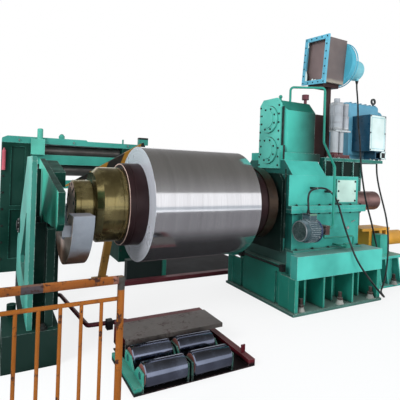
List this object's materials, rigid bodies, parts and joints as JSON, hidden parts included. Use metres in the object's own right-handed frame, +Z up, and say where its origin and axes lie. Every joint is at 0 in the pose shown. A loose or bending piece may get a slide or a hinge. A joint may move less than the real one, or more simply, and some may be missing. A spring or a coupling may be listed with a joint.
{
  "type": "uncoiler section of a tension leveling line",
  "caption": "Payoff reel with a metal coil on its mandrel, geared drive stand, outboard support arm, coil roller cradle, guard rail and entry roll frame.",
  "frame": {"origin": "on the floor under the mandrel axis, at the middle of the drive stand's sole plate", "axes": "+X along the mandrel axis towards the drive end, +Y away from the guard rail, +Z up"},
  "size_m": [6.5824, 5.0424, 3.6286],
  "materials": {
    "green_paint": "satin",
    "dark_green_paint": "satin",
    "blue_paint": "satin",
    "duct_brown": "matte",
    "grey_paint": "satin",
    "red_brown_paint": "satin",
    "orange_paint": "worn gloss",
    "yellow_paint": "worn gloss",
    "brass_tone": "worn",
    "rusty_steel": "rough",
    "bright_steel": "polished",
    "aluminium_strip": "bright rolled",
    "silver_grey": "satin",
    "pale_steel": "worn",
    "dark_steel": "oiled",
    "black_rubber": "matte",
    "grey_steel": "dirty"
  },
  "bodies": {
    "stand": {"drive_sole_plate": "green_paint", "drive_base": "green_paint", "box_beams": "green_paint", "anchor_bolts": "rusty_steel", "gearbox_lower_case": "green_paint", "gearbox_upper_case": "green_paint", "gear_head": "green_paint", "head_plate": "green_paint", "end_covers": "green_paint", "bearing_plate": "dark_green_paint", "pump_motor": "grey_paint", "oil_pump": "blue_paint", "lube_pipe": "green_paint", "motor_platform": "green_paint", "main_motor": "blue_paint", "terminal_box": "blue_paint", "blower_duct": "duct_brown", "blower_inlet_frame": "blue_paint", "fan_casing": "blue_paint", "fan_motor": "blue_paint", "blower_post": "red_brown_paint", "brake_thruster": "silver_grey", "tail_base": "green_paint", "cylinder_pedestal": "green_paint", "hydraulic_cylinder": "yellow_paint", "stand_base": "dark_green_paint", "stand_side_plate": "green_paint", "stand_columns": "dark_green_paint", "cradle_frame": "red_brown_paint", "roll_bearers": "green_paint", "cover_plate": "duct_brown", "guard_rail": "orange_paint", "entry_housings": "dark_green_paint", "entry_top_beam": "green_paint", "entry_crossbeams": "green_paint", "screw_jack": "green_paint", "floor_channel": "red_brown_paint", "pump_motor_cable": "black_rubber", "blower_motor_cable": "black_rubber", "cable_clips": "dark_steel", "pump_outlet_pipe": "pale_steel", "breather_cap": "red_brown_paint", "locking_rod": "dark_steel", "floor_pipe": "red_brown_paint", "frame_top_fittings": "green_paint", "strip_peeler": "yellow_paint", "floor_plate": "grey_steel", "valve_block": "dark_green_paint"},
    "mandrel_line": {"mandrel": "brass_tone", "back_flange": "rusty_steel", "coil_sleeve": "rusty_steel", "coil": "aluminium_strip"},
    "outboard_arm": {"support_arm": "green_paint", "saddle": "pale_steel"},
    "roll_back_left": {"cradle_roll_back_left": "bright_steel"},
    "roll_back_right": {"cradle_roll_back_right": "bright_steel"},
    "roll_front_left": {"cradle_roll_front_left": "bright_steel"},
    "roll_front_right": {"cradle_roll_front_right": "bright_steel"},
    "lower_entry_roll": {"entry_roll_lower": "bright_steel"},
    "upper_entry_roll": {"entry_roll_upper": "bright_steel"}
  },
  "joints": [
    {"name": "mandrel_spin", "type": "hinge", "parent": "stand", "child": "mandrel_line", "pos_m": [-1.8, 0, 1.253], "axis": [1, 0, 0], "continuous": true},
    {"name": "outboard_arm_swing", "type": "hinge", "parent": "stand", "child": "outboard_arm", "pos_m": [-3.3, 0.75, 0.95], "axis": [1, 0, 0], "range_deg": [0, 25]},
    {"name": "roll_back_left_spin", "type": "hinge", "parent": "stand", "child": "roll_back_left", "pos_m": [-2.6175, -1.04, 0.112], "axis": [1, 0, 0], "continuous": true},
    {"name": "roll_back_right_spin", "type": "hinge", "parent": "stand", "child": "roll_back_right", "pos_m": [-2.2105, -1.04, 0.112], "axis": [1, 0, 0], "continuous": true},
    {"name": "roll_front_left_spin", "type": "hinge", "parent": "stand", "child": "roll_front_left", "pos_m": [-2.6175, -1.33, 0.112], "axis": [1, 0, 0], "continuous": true},
    {"name": "roll_front_right_spin", "type": "hinge", "parent": "stand", "child": "roll_front_right", "pos_m": [-2.2105, -1.33, 0.112], "axis": [1, 0, 0], "continuous": true},
    {"name": "lower_entry_roll_spin", "type": "hinge", "parent": "stand", "child": "lower_entry_roll", "pos_m": [-2.6, 2.6, 1.56], "axis": [1, 0, 0], "continuous": true},
    {"name": "upper_entry_roll_spin", "type": "hinge", "parent": "stand", "child": "upper_entry_roll", "pos_m": [-2.6, 2.6, 1.86], "axis": [1, 0, 0], "continuous": true}
  ]
}
